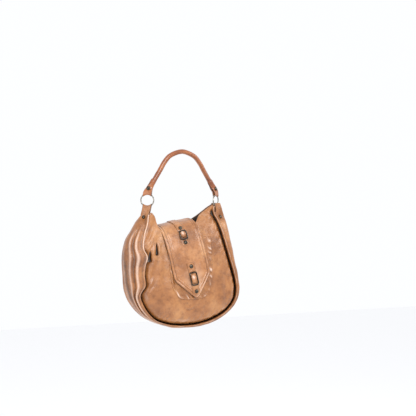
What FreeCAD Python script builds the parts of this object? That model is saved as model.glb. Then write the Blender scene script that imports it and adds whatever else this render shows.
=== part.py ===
"""Hobo shoulder bag: leather body on a gusset band, ring-hung rolled handle and a V-tipped flap.

Millimetres, +Z up, +X to the bag's left hand as worn facing -Y.
The origin is the underside of the handle's crown, where a hand or an arm carries the bag.
"""
import os
import math
import FreeCAD
import Part

V = FreeCAD.Vector
doc = FreeCAD.newDocument("hobo_bag")

# ---------------------------------------------------------------- driving dimensions
sheet = doc.addObject("Spreadsheet::Sheet", "dims")
DIMENSIONS = [
    ("grip_drop", 127.0),        # hand grip down to the ring centres
    ("ring_spacing", 210.0),     # between the two ring centres
    ("ring_radius", 18.0),       # middle of the ring's wire
    ("ring_wire", 3.4),          # diameter of the ring's wire
    ("ring_twist", 50.0),        # how far the rings face round to the front
    ("wire_gap", 0.4),           # leather loop to ring wire
    ("roll_diameter", 14.0),     # rolled handle
    ("core_diameter", 9.6),      # filler cord inside the roll
    ("end_width", 21.0),         # flattened handle end at the ring
    ("tab_width", 24.0),         # bag tab at the ring
    ("body_height", 350.0),      # ring centres down to the lowest point
    ("body_width", 336.0),
    ("body_depth", 116.0),
    ("mouth_dip", 73.0),         # ring centres down to the middle of the zip
    ("mouth_shift", 19.0),       # the zip's middle hangs this far to the left of the bag's middle
    ("zip_length", 100.0),
    ("leather", 2.0),
    ("lining_wall", 1.0),
    ("lip_height", 5.0),         # turned gusset edge standing proud of the panels
    ("lip_wall", 3.5),
    ("gusset_inset", 24.0),      # front view: body outline in to the panel seam
    ("shield_wall", 1.5),
    ("flap_lean", 11.0),         # degrees that the flap hangs out of plumb, its top to the left
    ("flap_width", 110.0),
    ("flap_length", 262.0),      # ring centres down to the flap's tip
    ("flap_point", 62.0),        # height of the V at the flap's tip
    ("strap_width", 22.0),
    ("strap_wall", 2.0),
    ("keeper_width", 23.0),      # rounded rectangular rings on the flap straps
    ("keeper_length", 38.0),
    ("top_keeper_length", 27.0),
    ("keeper_wire", 3.0),
    ("stud_diameter", 11.0),
    ("stud_dome", 4.0),
    ("snap_diameter", 17.0),
    ("snap_disc", 1.3),
    ("board_length", 150.0),
    ("board_depth", 56.0),
    ("board_wall", 2.0),
    ("tape_below", 11.0),        # zip tape below and above the mouth's edge
    ("tape_above", 2.5),
    ("teeth_height", 1.6),
    ("slider_length", 12.0),
    ("pull_length", 28.0),
]
for row, (alias, value) in enumerate(DIMENSIONS, start=1):
    cell = "B%d" % row
    sheet.set("A%d" % row, alias)
    sheet.set(cell, str(value))
    sheet.setAlias(cell, alias)
doc.recompute()


def size(alias):
    return float(sheet.get(alias))


def bind(obj, **cells):
    """Tie properties of an object to cells of the sheet."""
    for name, expression in cells.items():
        obj.setExpression(name, expression)


RING_Z = -size("grip_drop")
RING_X = size("ring_spacing") / 2
WIRE_R = size("ring_wire") / 2
HALF_W = size("body_width") / 2
HALF_D = size("body_depth") / 2
TALL = size("body_height")
LEATHER = size("leather")
LINED = LEATHER + size("lining_wall")
ROLL_R = size("roll_diameter") / 2
FAR = 400.0                      # larger than the bag, for half spaces


def feature(label, shape):
    obj = doc.addObject("Part::Feature", label)
    obj.Label = label
    obj.Shape = shape
    return obj


def spline_through(points, closed=False):
    curve = Part.BSplineCurve()
    curve.interpolate(points, PeriodicFlag=closed)
    return curve


def block(x0, x1, y0, y1, z0, z1):
    return Part.makeBox(x1 - x0, y1 - y0, z1 - z0, V(x0, y0, z0))


# ---------------------------------------------------------------- the bag's outer form
HORN_TOP = 31.0                  # ring centres down to the top of the pinched corners
HORN_HALF = RING_X + 5.0         # half width there, just outside the ring centres

# One row per level: depth below the rings as a share of the height, how far the width has
# grown from the corners to the full width, and the half depth as a share of the full one.
LEVELS = [
    (HORN_TOP / 350, 0.00, 0.10),
    (0.129, 0.17, 0.26),
    (0.177, 0.38, 0.42),
    (0.243, 0.60, 0.59),
    (0.371, 0.83, 0.78),
    (0.529, 0.98, 0.91),
    (0.686, 1.00, 1.00),
    (0.814, 0.66, 0.97),
    (0.920, 0.00, 0.78),
    (1.000, -1.12, 0.38),
]
SQUARENESS = 2.6                 # exponent of the level's outline, 2 is an ellipse


def level(depth_share, grown, depth_part, offset):
    """Closed outline of the bag at one height, moved outwards by the offset."""
    half_w = HORN_HALF + (HALF_W - HORN_HALF) * grown + offset
    half_d = max(HALF_D * depth_part + offset, 0.8)
    z = RING_Z - TALL * depth_share
    points = []
    count = 24
    for step in range(count):
        turn = 2 * math.pi * step / count
        c, s = math.cos(turn), math.sin(turn)
        x = half_w * math.copysign(abs(c) ** (2 / SQUARENESS), c)
        y = half_d * math.copysign(abs(s) ** (2 / SQUARENESS), s)
        points.append(V(x, y, z))
    return Part.Wire(spline_through(points, closed=True).toShape())


def body_form(offset):
    """The bag's whole outside as one solid, moved outwards by the offset."""
    wires = [level(*row, offset) for row in LEVELS]
    bottom = level(*LEVELS[-1], offset)
    bottom.translate(V(0, 0, -offset))
    wires[-1] = bottom
    return Part.makeLoft(wires, True, False)


OUTSIDE = body_form(0.0)
INSIDE = body_form(-LEATHER)
LINING_INSIDE = body_form(-LINED)


# The mouth sags between the corners. Its middle stretch is straight, holds the zip, and hangs
# as far out of plumb as the flap over it. It is lower at the front than at the back.
MOUTH_TILT = 0.25                # rise of the mouth per millimetre to the back
MOUTH_X = -size("mouth_shift")
MOUTH_Z = RING_Z - size("mouth_dip")
LEAN = math.radians(size("flap_lean"))
ZIP_HALF = size("zip_length") / 2


def on_zip(run, lift=0.0):
    """A point of the mouth's straight stretch, from its middle along the zip."""
    return (MOUTH_X + run * math.cos(LEAN), MOUTH_Z + run * math.sin(LEAN) + lift)


MOUTH_LINE = [(-RING_X + 4.0, RING_Z - 20.0), (-RING_X + 6.0, RING_Z - 47.0),
              on_zip(-ZIP_HALF - 17.0, 6.0), on_zip(-ZIP_HALF), on_zip(0.0), on_zip(ZIP_HALF),
              on_zip(ZIP_HALF + 27.0, 12.0), (RING_X - 21.0, RING_Z - 26.0), (RING_X - 8.0, RING_Z - 8.0)]


def above_mouth(shift):
    """Everything above the mouth's edge, with the edge moved up by the shift."""
    drop = shift - FAR * MOUTH_TILT
    edge = spline_through([V(x, -FAR, z + drop) for x, z in MOUTH_LINE]).toShape()
    first, last = (V(x, -FAR, z + drop) for x, z in (MOUTH_LINE[0], MOUTH_LINE[-1]))
    up = V(0, 0, FAR)
    sides = [Part.makeLine(last, last + up), Part.makeLine(last + up, first + up), Part.makeLine(first + up, first)]
    return Part.Face(Part.Wire([edge] + sides)).extrude(V(0, 2 * FAR, 2 * FAR * MOUTH_TILT))


MOUTH = above_mouth(0.0)

# Front view outline of the round panels, given as for LEVELS, from the seam's top downwards.
SEAM = [(0.040, 0.00), (0.129, 0.17), (0.243, 0.60), (0.371, 0.83), (0.529, 0.98),
        (0.686, 1.00), (0.814, 0.66), (0.900, 0.08)]


def panel_prism(outwards):
    """The front view outline of a panel, drawn out from front to back."""
    inset = size("gusset_inset") - outwards
    right = []
    for depth_share, grown in SEAM:
        half = HORN_HALF + (HALF_W - HORN_HALF) * grown
        right.append((half - inset, RING_Z - TALL * depth_share))
    bottom_z = RING_Z - TALL + inset * 0.5
    left = [(-x, z) for x, z in reversed(right)]
    outline = right + [(0.0, bottom_z)] + left
    curve = spline_through([V(x, -FAR, z) for x, z in outline]).toShape()
    ends = curve.Vertexes
    top = Part.makeLine(ends[-1].Point, ends[0].Point)
    return Part.Face(Part.Wire([curve, top])).extrude(V(0, 2 * FAR, 0))


PANEL = panel_prism(0.0)
FRONT_HALF = block(-FAR, FAR, -FAR, 0, RING_Z - 2 * FAR, FAR)
BACK_HALF = block(-FAR, FAR, 0, FAR, RING_Z - 2 * FAR, FAR)

# ---------------------------------------------------------------- studs and their places
DOME_R = size("stud_diameter") / 2
SHANK_R = 1.6


def stud_shape(grip):
    """A domed stud along +Z with its flange on z = 0, and a washer behind the leather."""
    dome = Part.makeSphere(DOME_R * 1.35, V(0, 0, size("stud_dome") - DOME_R * 1.35))
    dome = dome.common(Part.makeCylinder(DOME_R, size("stud_dome") * 2))
    shank = Part.makeCylinder(SHANK_R, grip, V(0, 0, -grip))
    washer = Part.makeCylinder(DOME_R * 0.8, 0.8, V(0, 0, -grip - 0.8))
    return dome.fuse([shank, washer]).removeSplitter()


def aimed(shape, place, direction):
    """A shape made along +Z, turned to a direction and moved to its place."""
    placed = shape.copy()
    placed.Placement = FreeCAD.Placement(place, FreeCAD.Rotation(V(0, 0, 1), direction))
    return placed


# ---------------------------------------------------------------- handle
CROWN_Z = ROLL_R
ROLL_START = (RING_X - 15.0, RING_Z + 46.0)
HANDLE_LINE = [
    (-ROLL_START[0], ROLL_START[1]),
    (-RING_X + 36.0, RING_Z + 79.0),
    (-RING_X + 52.0, RING_Z + 105.0),
    (-RING_X + 71.0, RING_Z + 123.5),
    (0.0, CROWN_Z),
]
HANDLE_LINE += [(-x, z) for x, z in reversed(HANDLE_LINE[:-1])]
handle_curve = spline_through([V(x, 0, z) for x, z in HANDLE_LINE])
handle_path = Part.Wire(handle_curve.toShape())


def handle_tube(radius):
    start = handle_curve.value(handle_curve.FirstParameter)
    along = handle_curve.tangent(handle_curve.FirstParameter)[0]
    ring = Part.Wire(Part.Circle(start, along, radius).toShape())
    return handle_path.makePipeShell([ring], True, False)


core = handle_tube(size("core_diameter") / 2)
feature("handle_core", core)
feature("handle_roll", handle_tube(ROLL_R).cut(core))


def ring_frame(side):
    """Placement of a ring: its axis turned round to the front, its centre at the bag's corner."""
    twist = size("ring_twist")
    turn = -twist if side > 0 else 180 + twist
    return FreeCAD.Placement(V(side * RING_X, 0, RING_Z), FreeCAD.Rotation(V(0, 0, 1), turn))


def loop_round_wire(wide, upwards):
    """A leather loop that hugs the ring's wire, in the ring's own frame."""
    inner = WIRE_R + size("wire_gap")
    outer = inner + LEATHER
    reach = math.degrees(math.asin(wide / 2 / size("ring_radius")))
    middle = 90 if upwards else -90
    spin_from = middle - reach
    centre = V(0, size("ring_radius"), 0)
    disc = Part.Face(Part.Wire(Part.Circle(centre, V(0, 0, 1), outer).toShape()))
    disc.rotate(V(0, 0, 0), V(1, 0, 0), spin_from)
    return disc.revolve(V(0, 0, 0), V(1, 0, 0), 2 * reach)


def wire_space():
    """What the ring's wire needs, in the ring's own frame."""
    return Part.makeTorus(size("ring_radius"), WIRE_R + size("wire_gap"), V(0, 0, 0), V(1, 0, 0))


def slab_wire(thick, wide, placement):
    corners = [V(-thick / 2, -wide / 2, 0), V(thick / 2, -wide / 2, 0),
               V(thick / 2, wide / 2, 0), V(-thick / 2, wide / 2, 0)]
    wire = Part.makePolygon(corners + corners[:1])
    wire.Placement = placement
    return wire


def in_world(shape, side):
    placed = shape.copy()
    placed.Placement = ring_frame(side).multiply(placed.Placement)
    return placed


LOOP_FOOT = size("ring_radius") + WIRE_R * 0.5      # where the straight strap leaves the loop
for side, name in ((-1, "left"), (1, "right")):
    ring = doc.addObject("Part::Torus", name + "_ring")
    ring.Label = name + "_ring"
    bind(ring, Radius1="dims.ring_radius", Radius2="dims.ring_wire / 2")
    ring.Placement = ring_frame(side).multiply(
        FreeCAD.Placement(V(0, 0, 0), FreeCAD.Rotation(V(0, 1, 0), 90)))

    # handle end: a loop over the ring's top that narrows up into the roll
    loop = in_world(loop_round_wire(size("end_width"), True), side)
    foot = FreeCAD.Placement(V(0, 0, LOOP_FOOT), FreeCAD.Rotation())
    low = slab_wire(2 * LEATHER, size("end_width") * 0.94, ring_frame(side).multiply(foot))
    roll_end = V(side * ROLL_START[0], 0, ROLL_START[1])
    along = handle_curve.tangent(handle_curve.FirstParameter)[0]
    along = V(-side * along.x, 0, along.z)
    square = FreeCAD.Rotation(V(0, 0, 1), along)
    high = slab_wire(2 * ROLL_R * 0.92, 2 * ROLL_R * 0.92, FreeCAD.Placement(roll_end, square))
    neck = Part.makeLoft([low, high], True, True)
    end = loop.fuse(neck).cut(in_world(wire_space(), side))
    stud_place = V(side * (RING_X - 4.5), 0, RING_Z + 31.0)
    outward = ring_frame(side).Rotation.multVec(V(1, 0, 0)) + V(0, 0, 0.3)
    outward.normalize()
    stud = aimed(stud_shape(5.0), stud_place + outward * 4.2, outward)
    feature(name + "_handle_stud", stud)
    feature(name + "_handle_end", end.cut(stud).cut(handle_tube(ROLL_R)))

# ---------------------------------------------------------------- bag shell
shell = OUTSIDE.cut(INSIDE).cut(MOUTH)
front_panel = shell.common(PANEL).common(FRONT_HALF)
back_panel = shell.common(PANEL).common(BACK_HALF)
gusset = shell.cut(PANEL)

lip_form = body_form(size("lip_height")).cut(OUTSIDE)
lip_ring = panel_prism(size("lip_wall")).cut(PANEL)
LIP_TOP = RING_Z - 70.0
lip_band = lip_form.common(lip_ring).cut(block(-FAR, FAR, -FAR, FAR, LIP_TOP, FAR))
back_lip = lip_band.common(BACK_HALF)
feature("back_lip", back_lip)
feature("front_lip", back_lip.mirror(V(0, 0, 0), V(0, 1, 0)))

lining = INSIDE.cut(LINING_INSIDE).cut(MOUTH)
POCKET_WIDE, POCKET_LOW, POCKET_HIGH = 120.0, -215.0, -120.0
pocket = LINING_INSIDE.cut(body_form(-LINED - size("lining_wall")))
pocket = pocket.common(block(-POCKET_WIDE / 2, POCKET_WIDE / 2, 0, FAR,
                             RING_Z + POCKET_LOW, RING_Z + POCKET_HIGH))
feature("slip_pocket", pocket)

board_z = RING_Z - TALL + 22.0
board = Part.Face(Part.Wire(Part.Ellipse(
    V(0, 0, board_z), size("board_length") / 2, size("board_depth") / 2).toShape()))
feature("base_board", board.extrude(V(0, 0, size("board_wall"))))

SHIELD_HALF, SHIELD_TOP, SHIELD_FOOT = 66.0, 92.0, 277.0
shield_outline = Part.Wire([
    Part.makeLine(V(SHIELD_HALF, -FAR, RING_Z - SHIELD_TOP), V(-SHIELD_HALF, -FAR, RING_Z - SHIELD_TOP)),
    Part.makeLine(V(-SHIELD_HALF, -FAR, RING_Z - SHIELD_TOP),
                  V(-SHIELD_HALF, -FAR, RING_Z - SHIELD_FOOT + SHIELD_HALF)),
    Part.Arc(V(-SHIELD_HALF, -FAR, RING_Z - SHIELD_FOOT + SHIELD_HALF),
             V(0, -FAR, RING_Z - SHIELD_FOOT),
             V(SHIELD_HALF, -FAR, RING_Z - SHIELD_FOOT + SHIELD_HALF)).toShape(),
    Part.makeLine(V(SHIELD_HALF, -FAR, RING_Z - SHIELD_FOOT + SHIELD_HALF),
                  V(SHIELD_HALF, -FAR, RING_Z - SHIELD_TOP)),
])
shield_prism = Part.Face(shield_outline).extrude(V(0, FAR, 0))
shield = body_form(size("shield_wall")).cut(OUTSIDE).common(shield_prism)

# ---------------------------------------------------------------- zip at the mouth
tape_wall = LINING_INSIDE.cut(body_form(-LINED - 0.8))
teeth_wall = LINING_INSIDE.cut(body_form(-LINED - 2.0))
zip_ends = [on_zip(-ZIP_HALF)[0], on_zip(ZIP_HALF)[0]]
zip_span = block(zip_ends[0], zip_ends[1], -FAR, FAR, RING_Z - TALL, FAR)
TEETH_TOP = size("tape_above") + size("teeth_height")
tape_zone = above_mouth(-size("tape_below")).cut(above_mouth(size("tape_above"))).common(zip_span)
teeth_zone = above_mouth(size("tape_above")).cut(above_mouth(TEETH_TOP)).common(zip_span)
for half, name in ((FRONT_HALF, "front"), (BACK_HALF, "back")):
    feature(name + "_zip_tape", tape_wall.common(tape_zone).common(half))
    feature(name + "_zip_teeth", teeth_wall.common(teeth_zone).common(half))

slider_x, slider_z = on_zip(-ZIP_HALF, -3.0)
slider_at = V(slider_x, 0, slider_z)
SLIDER_W, SLIDER_T, EYE_T = 9.0, 4.4, 1.6


def slider_shape():
    """Two plates on a middle wall, with an eye below for the pull, centred on the origin."""
    long = size("slider_length")
    plates = block(-long / 2, long / 2, -SLIDER_W / 2, SLIDER_W / 2, -SLIDER_T / 2, SLIDER_T / 2)
    channel = block(-long, long, 1.0, SLIDER_W, -0.9, 0.9)
    channels = channel.fuse(channel.mirror(V(0, 0, 0), V(0, 1, 0)))
    eye = block(-4.5, 4.5, -EYE_T / 2, EYE_T / 2, -SLIDER_T / 2 - 5.0, -SLIDER_T / 2)
    hole = Part.makeCylinder(1.9, 10, V(0, -5, -SLIDER_T / 2 - 2.4), V(0, 1, 0))
    return plates.cut(channels).fuse(eye).cut(hole)


slider = slider_shape()
tilt = FreeCAD.Rotation(V(0, 1, 0), -size("flap_lean"))
slider.Placement = FreeCAD.Placement(slider_at, tilt)
feature("zip_slider", slider)

pivot = slider_at + tilt.multVec(V(0, 0, -SLIDER_T / 2 - 2.4))


def pull_shape():
    """A leather-thin metal drop with a wire bail through the slider's eye, hanging from the origin."""
    bail = Part.makeTorus(4.4, 0.8, V(0, 0, -4.4 - 0.9), V(1, 0, 0))
    blade = block(-1.2, 1.2, -4.0, 4.0, -size("pull_length"), -9.4)
    return bail.fuse(blade)


pull = pull_shape()
pull.Placement = FreeCAD.Placement(pivot, FreeCAD.Rotation())
feature("zip_pull", pull)

# ---------------------------------------------------------------- flap
# Side view of the flap's inner face, from the back edge of the mouth to the tip (y, below rings).
FLAP_SIDE = [(24.0, 59.0), (12.0, 58.0), (0.0, 59.5), (-14.0, 63.0), (-28.6, 71.5), (-40.0, 87.0),
             (-47.4, 108.0), (-53.0, 135.0), (-57.3, 168.0), (-61.3, 205.0), (-64.3, 238.0), (-64.5, 264.0)]
depth_scale = HALF_D / 58.0
flap_curve = spline_through([V(0, y * depth_scale, RING_Z - z) for y, z in FLAP_SIDE])


LEAN_PIVOT = V(0, 0, RING_Z - 197.0)         # a point on the flap that the lean leaves in place


def leaning(shape):
    """A flap piece, modelled upright, turned in the front view to the way that the flap hangs."""
    turned = shape.copy()
    turned.rotate(LEAN_PIVOT, V(0, 1, 0), -size("flap_lean"))
    return turned


def flap_point(share):
    first, last = flap_curve.FirstParameter, flap_curve.LastParameter
    where = first + (last - first) * share
    place = flap_curve.value(where)
    along = flap_curve.tangent(where)[0]
    outwards = V(0, along.z, -along.y)
    return place, along, outwards


def flap_layer(inner, outer, half_w, share_from=0.0, share_to=1.0):
    """A leather layer that follows the flap's side view, between two distances from it."""
    steps = 26
    lines = []
    for distance in (inner, outer):
        points = []
        for step in range(steps + 1):
            share = share_from + (share_to - share_from) * step / steps
            place, along, outwards = flap_point(share)
            points.append(place + outwards * distance)
        lines.append(spline_through(points).toShape())
    starts = Part.makeLine(lines[0].Vertexes[0].Point, lines[1].Vertexes[0].Point)
    finish = Part.makeLine(lines[0].Vertexes[-1].Point, lines[1].Vertexes[-1].Point)
    face = Part.Face(Part.Wire([lines[0], finish, lines[1].reversed(), starts]))
    face.translate(V(-half_w, 0, 0))
    return face.extrude(V(2 * half_w, 0, 0))


def tip_cutter(half_w, tip_z, point, round_tip):
    """What lies outside a V-tipped strap of the given half width, seen from the front."""
    y = -FAR
    top = FAR
    apex = V(0, y, tip_z)
    left = V(-half_w, y, tip_z + point)
    right = V(half_w, y, tip_z + point)
    keep = Part.makePolygon([V(-half_w, y, top), left, apex, right, V(half_w, y, top), V(-half_w, y, top)])
    prism = Part.Face(keep).extrude(V(0, 2 * FAR, 0))
    edges = [e for e in prism.Edges if abs(e.Vertexes[0].Z - tip_z) < 0.01 and abs(e.Vertexes[-1].Z - tip_z) < 0.01]
    return prism.makeFillet(round_tip, edges)


flap_half = size("flap_width") / 2
TIP_Z = RING_Z - size("flap_length")
v_cut = tip_cutter(flap_half, TIP_Z, size("flap_point"), 14.0)
FLAP_LINING = 1.2
FLAP_WALL = 3.0
flap_lining = flap_layer(0.0, FLAP_LINING, flap_half).common(v_cut)
flap = flap_layer(FLAP_LINING, FLAP_WALL, flap_half).common(v_cut)
base_outline = [(26.5, -64.0), (28.5, -64.0), (37.0, -85.0), (44.5, -112.0), (38.0, -112.0), (30.0, -85.0)]
base_side = [V(-flap_half + 4, y * depth_scale, RING_Z + z) for y, z in base_outline]
flap_base = Part.Face(Part.makePolygon(base_side + base_side[:1])).extrude(V(size("flap_width") - 8, 0, 0))
feature("flap_base", leaning(flap_base).cut(OUTSIDE))

STRAP_IN = FLAP_WALL + 0.15      # clear of the flap's leather
STRAP_OUT = STRAP_IN + size("strap_wall")
strap_half = size("strap_width") / 2
# name, share of the flap's length at the strap's start and end, at its studs and at its keeper,
# and the keeper's length
STRAPS = [
    ("top_strap", 0.02, 0.436, 0.246, 0.406, 0.3265, size("top_keeper_length")),
    ("front_strap", 0.631, 0.972, 0.6657, 0.9364, 0.7992, size("keeper_length")),
]
for name, start, finish, upper_stud, lower_stud, keeper_share, keeper_long in STRAPS:
    strap = flap_layer(STRAP_IN, STRAP_OUT, strap_half, start, finish)
    studs = []
    for share in (upper_stud, lower_stud):
        place, along, outwards = flap_point(share)
        studs.append(aimed(stud_shape(STRAP_OUT - 0.1), place + outwards * (STRAP_OUT - 0.2), outwards))
    place, along, outwards = flap_point(keeper_share)
    half_bw, half_bl = strap_half * 0.62, keeper_long * 0.31
    bulge = block(-half_bw, half_bw, -half_bl, half_bl, -1.3, 4.6)
    bulge = bulge.makeFillet(3.6, [e for e in bulge.Edges if e.CenterOfMass.z > 4.5])
    lie = FreeCAD.Rotation(V(1, 0, 0), along, outwards, "ZXY")
    bulge.Placement = FreeCAD.Placement(place + outwards * STRAP_OUT, lie)
    strap = strap.fuse(bulge)
    wire_r = size("keeper_wire") / 2
    half_kw = size("keeper_width") / 2 - wire_r
    half_kl = keeper_long / 2 - wire_r
    corner = 5.0
    frame_face = Part.Face(Part.makePlane(2 * half_kw, 2 * half_kl, V(-half_kw, -half_kl, 0)).OuterWire)
    frame_solid = frame_face.extrude(V(0, 0, 1))
    uprights = [e for e in frame_solid.Edges if abs(e.Vertexes[0].Z - e.Vertexes[-1].Z) > 0.5]
    rounded = frame_solid.makeFillet(corner, uprights)
    lower_face = [f for f in rounded.Faces if abs(f.CenterOfMass.z) < 1e-6][0]
    route = lower_face.OuterWire
    begin = route.OrderedEdges[0]
    begin_at = begin.valueAt(begin.FirstParameter)
    section = Part.Wire(Part.Circle(begin_at, begin.tangentAt(begin.FirstParameter), wire_r).toShape())
    keeper = route.makePipeShell([section], True, False)
    keeper.Placement = FreeCAD.Placement(place + outwards * (STRAP_OUT + wire_r + 0.8), lie)
    feature(name + "_ring", leaning(keeper))
    feature(name + "_studs", Part.makeCompound([leaning(stud) for stud in studs]))
    for stud in studs:
        strap = strap.cut(stud)
        flap = flap.cut(stud)
        flap_lining = flap_lining.cut(stud)
    feature(name, leaning(strap.cut(keeper)))
feature("flap", leaning(flap))

# magnetic snap between the flap's tip and the shield
place, along, outwards = flap_point(0.845)
cap = doc.addObject("Part::Cylinder", "snap_cap")
cap.Label = "snap_cap"
bind(cap, Radius="dims.snap_diameter / 2", Height="dims.snap_disc")
doc.recompute()
hung = FreeCAD.Placement(V(0, 0, 0), FreeCAD.Rotation(V(0, 1, 0), -size("flap_lean")), LEAN_PIVOT)
flat_on = FreeCAD.Rotation(V(0, 0, 1), outwards)
cap.Placement = hung.multiply(FreeCAD.Placement(place - outwards * (size("snap_disc") + 0.05), flat_on))
feature("flap_lining", leaning(flap_lining))
SNAP_GAP = 0.5
socket_depth = size("snap_disc") + 4.0
socket = aimed(Part.makeCylinder(size("snap_diameter") / 2, socket_depth),
               place - outwards * (size("snap_disc") + SNAP_GAP + socket_depth), outwards)
socket = leaning(socket).cut(OUTSIDE)
feature("snap_socket", socket)
feature("front_shield", shield.cut(socket))
feature("front_panel", front_panel)
feature("back_panel", back_panel)

# ---------------------------------------------------------------- tabs on the bag's corners
for side, name in ((-1, "left"), (1, "right")):
    loop = in_world(loop_round_wire(size("tab_width"), False), side)
    foot = FreeCAD.Placement(V(0, 0, -LOOP_FOOT), FreeCAD.Rotation())
    high = slab_wire(2 * LEATHER, size("tab_width") * 0.94, ring_frame(side).multiply(foot))
    half_turn = FreeCAD.Placement(V(side * RING_X, 0, RING_Z), FreeCAD.Rotation(
        V(0, 0, 1), -size("ring_twist") * 0.3 if side > 0 else 180 + size("ring_twist") * 0.3))
    flare = FreeCAD.Placement(V(16.0, 0, -62.0), FreeCAD.Rotation(V(0, 1, 0), -20))
    low = slab_wire(2 * LEATHER + 1.0, size("tab_width") * 0.92, half_turn.multiply(flare))
    strap = Part.makeLoft([low, high], True, True)
    tab = loop.fuse(strap).cut(in_world(wire_space(), side)).cut(OUTSIDE)
    outward = half_turn.Rotation.multVec(V(1, 0, 0.3))
    outward.normalize()
    stud_place = half_turn.multVec(V(10.5, 0, -47.0))
    stud = aimed(stud_shape(6.5), stud_place + outward * 2.8, outward)
    feature(name + "_tab_stud", stud)
    feature(name + "_tab", tab.cut(stud))
    gusset = gusset.cut(stud)
    lining = lining.cut(stud)
feature("gusset", gusset)
feature("lining", lining)

# ---------------------------------------------------------------- checks and export
doc.recompute()
os.makedirs("parts", exist_ok=True)
for obj in doc.Objects:
    if obj is sheet:
        continue
    if "Invalid" in obj.State or "Error" in obj.State:
        raise RuntimeError("bad state: " + obj.Label)
    if obj.Shape.isNull() or not obj.Shape.isValid() or obj.Shape.Volume <= 0:
        raise RuntimeError("bad shape: " + obj.Label)
    obj.Shape.exportStep("parts/%s.step" % obj.Label)
    print("%-20s %9.1f mm3 %d solids" % (obj.Label, obj.Shape.Volume, len(obj.Shape.Solids)))
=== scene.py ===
# %% [markdown]
# # A soft leather hobo bag
# The bag hangs from a rolled handle on two metal rings. Its body is two round leather panels
# set into a gusset band, and a V-tipped flap comes over the zipped mouth from the back.
# The metal parts come ready from the CAD frame. The leather is made here, as sheets that
# follow the frame's own places, because leather sags, gathers and creases.

# %% Load the frame
import math
import bpy
import bmesh
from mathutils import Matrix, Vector, noise


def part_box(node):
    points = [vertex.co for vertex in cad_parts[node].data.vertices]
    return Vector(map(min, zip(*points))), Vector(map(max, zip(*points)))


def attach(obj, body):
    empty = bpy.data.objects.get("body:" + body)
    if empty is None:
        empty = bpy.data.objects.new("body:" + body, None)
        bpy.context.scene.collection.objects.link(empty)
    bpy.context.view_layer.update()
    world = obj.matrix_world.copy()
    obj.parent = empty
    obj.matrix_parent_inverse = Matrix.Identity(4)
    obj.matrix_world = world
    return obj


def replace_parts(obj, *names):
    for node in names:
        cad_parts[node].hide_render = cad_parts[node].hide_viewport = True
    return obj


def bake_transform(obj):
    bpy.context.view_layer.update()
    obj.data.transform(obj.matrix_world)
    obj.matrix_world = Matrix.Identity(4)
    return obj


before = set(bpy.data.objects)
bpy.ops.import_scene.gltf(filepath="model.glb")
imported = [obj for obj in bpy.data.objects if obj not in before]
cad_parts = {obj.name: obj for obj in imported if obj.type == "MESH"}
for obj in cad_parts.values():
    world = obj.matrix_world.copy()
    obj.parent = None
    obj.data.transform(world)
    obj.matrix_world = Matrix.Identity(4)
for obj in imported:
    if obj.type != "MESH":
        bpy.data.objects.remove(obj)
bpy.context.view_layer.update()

MM = 0.001
scene = bpy.context.scene
print("nodes:", len(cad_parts))

# %% [markdown]
# ## Places read from the frame
# Every leather piece is placed from the rings, so the ring centres come first. Heights on the
# bag are given as millimetres below the ring centres, which is how a bag maker marks a pattern.

# %% Places
ring_low, ring_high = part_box("right_ring")
RING_X = (ring_low.x + ring_high.x) / 2 / MM
RING_Z = (ring_low.z + ring_high.z) / 2 / MM
RING_WIRE = 1.7
RING_R = (ring_high.z - ring_low.z) / 2 / MM - RING_WIRE
RING_TWIST = math.radians(50)


def at(x, y, below):
    """A point from millimetres across, back and below the ring centres."""
    return Vector((x, y, RING_Z - below)) * MM


print("ring centres at x = +-%.1f mm, z = %.1f mm" % (RING_X, RING_Z))

# %% [markdown]
# ## Smooth curves through a few points
# A pattern line needs only the points where its shape changes. A Catmull-Rom curve runs
# through all of them, and walking it in even steps gives sheets whose squares are even too.

# %% Curves through points


def glide(rows, where):
    """The row at a fractional index, on a smooth curve through all rows."""
    last = len(rows) - 1
    where = min(max(where, 0.0), last - 1e-9)
    i = int(where)
    f = where - i
    a, b, c, d = (rows[min(max(i + k, 0), last)] for k in (-1, 0, 1, 2))
    return [0.5 * (2 * q + (r - p) * f + (2 * p - 5 * q + 4 * r - s) * f * f
                   + (3 * q - p - 3 * r + s) * f ** 3) for p, q, r, s in zip(a, b, c, d)]


def lookup(rows, key):
    """The row whose first number is the key, read from a smooth table."""
    low, high = 0.0, len(rows) - 1.0
    for _ in range(24):
        middle = (low + high) / 2
        if glide(rows, middle)[0] < key:
            low = middle
        else:
            high = middle
    return glide(rows, (low + high) / 2)


def walk(points, count):
    """Evenly spaced points along the curve through the given points."""
    rows = [tuple(p) for p in points]
    fine = [Vector(glide(rows, i / 12)) for i in range(12 * (len(rows) - 1) + 1)]
    run = [0.0]
    for p, q in zip(fine, fine[1:]):
        run.append(run[-1] + (q - p).length)
    result = []
    k = 0
    for i in range(count):
        want = run[-1] * i / (count - 1)
        while k < len(run) - 2 and run[k + 1] < want:
            k += 1
        span = run[k + 1] - run[k]
        result.append(fine[k].lerp(fine[k + 1], (want - run[k]) / span if span else 0.0))
    return result


def bump(value, width):
    """A smooth hill, one at zero and nearly nothing past twice the width."""
    return math.exp(-(value / width) ** 2)


def fade(value, low, high):
    """Zero below low, one above high, smooth between."""
    f = min(max((value - low) / (high - low), 0.0), 1.0)
    return f * f * (3 - 2 * f)


def waves(x, y, z, scale, seed=0.0):
    """Smooth seeded unevenness between about -1 and 1; scale is the wave length in mm."""
    return noise.noise(Vector((x / scale + seed, y / scale - seed, z / scale + 2.7 * seed)))


# %% [markdown]
# ## The form of the filled bag
# One table holds the shape: the half width to the left and to the right and the half depth at
# each height. The left side hangs fuller high up and the right side lower down, as a soft bag
# does when it is carried. Between the rows the outline of a level is a squared ellipse.

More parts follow.
